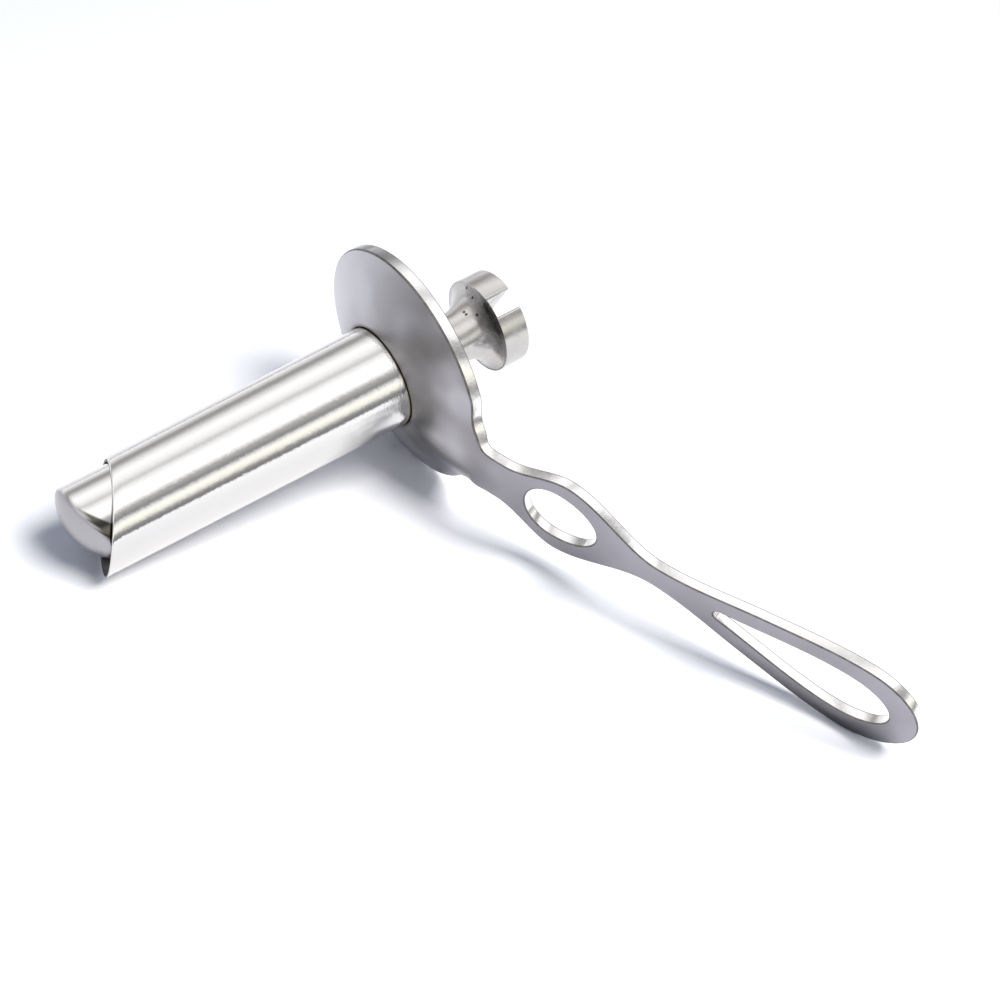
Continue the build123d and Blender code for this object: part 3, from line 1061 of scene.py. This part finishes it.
# The table: a plain white board, bright enough round the instrument to read as pure white, with
# one soft grey shadow.
board_half = 1.6
board_corners = [(x * board_half, y * board_half, 0) for x, y in ((-1, -1), (1, -1), (1, 1), (-1, 1))]
board = bpy.data.meshes.new("table_board")
board.from_pydata(board_corners, [], [(0, 1, 2, 3)])
white_board = start_finish("matt_white_board")
board_place = add(white_board, "ShaderNodeTexCoord").outputs["Object"]
board_tooth = add(white_board, "ShaderNodeTexNoise", {"Vector": board_place, "Scale": 900.0, "Detail": 2.0})
board_bump = add(
    white_board, "ShaderNodeBump", {"Height": board_tooth.outputs["Fac"], "Strength": 0.2, "Distance": 1e-5}
)
board_shader = add(
    white_board,
    "ShaderNodeBsdfPrincipled",
    {
        "Base Color": linear("#FAFAFC"),
        "Roughness": 0.85,
        "Specular IOR Level": 0.1,
        "Normal": board_bump.outputs[0],
    },
)
add(white_board, "ShaderNodeOutputMaterial", {"Surface": board_shader.outputs[0]})
board.materials.append(white_board)
table = bpy.data.objects.new("table_board", board)
bpy.context.scene.collection.objects.link(table)

# The room: a white light tent with darker gaps between its soft boxes, which run alongside the
# tube. Steel mirrors it as levels of light that change with the turn round the shared x axis, in
# degrees; all else gets a plain pale blue light. One soft box, from 60 to 80 degrees, is warmer.
tent = bpy.data.worlds.new("light_tent")
tent.use_nodes = True
tent.node_tree.nodes.clear()
tent_direction = add(tent, "ShaderNodeTexCoord").outputs["Generated"]
tent_parts = add(tent, "ShaderNodeSeparateXYZ", {"Vector": tent_direction})
tent_turn = add(
    tent, "ShaderNodeMath", {0: tent_parts.outputs["Y"], 1: tent_parts.outputs["Z"]}, operation="ARCTAN2"
)
tent_share = add(
    tent,
    "ShaderNodeMapRange",
    {"Value": tent_turn.outputs[0], "From Min": -np.pi, "From Max": np.pi, "To Min": 0.0, "To Max": 1.0},
)
tent_levels = add(tent, "ShaderNodeValToRGB", {"Fac": tent_share.outputs[0]})
levels = [
    (-130, 0.70), (-100, 0.82), (-88, 0.84), (-76, 0.58), (-67, 0.29), (-59, 0.32), (-46, 0.74),
    (-34, 1.0), (-18, 0.84), (-7, 0.56), (0, 0.80), (10, 1.0), (32, 1.0), (41, 0.40), (53, 0.22),
    (60, 0.80), (66, 0.98), (74, 0.82), (80, 0.34), (85, 0.20), (97, 0.20), (108, 0.42), (130, 0.55),
]
warm_blue, cold_blue = 0.93, 1.02
stops = tent_levels.color_ramp.elements
while len(stops) < len(levels):
    stops.new(0.5)
# A stop's place in the row can change when it is moved, so the colours come after all the moves.
for stop, (turn, _) in zip(stops, levels):
    stop.position = (turn + 180) / 360
for stop, (turn, level) in zip(stops, levels):
    stop.color = (level, level, level * (warm_blue if 60 < turn < 80 else cold_blue), 1)
ray = add(tent, "ShaderNodeLightPath")
mirror_light = add(tent, "ShaderNodeBackground", {"Color": tent_levels.outputs["Color"], "Strength": 1.6})
fill_light = add(tent, "ShaderNodeBackground", {"Color": linear("#CFD9EE"), "Strength": 0.43})
tent_light = add(
    tent,
    "ShaderNodeMixShader",
    {0: ray.outputs["Is Glossy Ray"], 1: fill_light.outputs[0], 2: mirror_light.outputs[0]},
)
add(tent, "ShaderNodeOutputWorld", {"Surface": tent_light.outputs[0]})
bpy.context.scene.world = tent


def soft_box(name, place, aim, size, power, colour):
    """A square area lamp at place that faces aim; steel doesn't mirror it."""
    lamp = bpy.data.lights.new(name, "AREA")
    lamp.shape = "SQUARE"
    lamp.size = size
    lamp.energy = power
    lamp.color = colour
    holder = bpy.data.objects.new(name, lamp)
    facing = (Vector(aim) - Vector(place)).to_track_quat("-Z", "Y").to_matrix().to_4x4()
    holder.matrix_world = Matrix.Translation(place) @ facing
    holder.visible_glossy = False
    bpy.context.scene.collection.objects.link(holder)


soft_box("top_soft_box", (-0.15, 0.35, 0.85), (0, 0, 0), 0.45, 11.2, (1.0, 0.99, 0.97))

# Camera: the photograph's own view, worked out from the instrument's edges in it. Its place, in mm,
# and its directions are in the instrument's own frame.
camera_place = (147.195, -327.976, 179.924)
camera_right = np.array([-0.8001, -0.1221, 0.5872]) @ own_axes
camera_down = np.array([0.4548, 0.5147, 0.7268]) @ own_axes
camera_ahead = np.cross(camera_right, camera_down)
camera_turn = Matrix(np.array([camera_right, -camera_down, -camera_ahead]).T.tolist()).to_4x4()
camera_data = bpy.data.cameras.new("view")
camera_data.lens = 61.64
camera_data.sensor_width = 36.0
camera = bpy.data.objects.new("view", camera_data)
camera.matrix_world = Matrix.Translation(on_table(camera_place).tolist()) @ camera_turn
bpy.context.scene.collection.objects.link(camera)
bpy.context.scene.camera = camera
# The board is plain white as in the photograph, so no film curve dims it.
bpy.context.scene.view_settings.view_transform = "Standard"
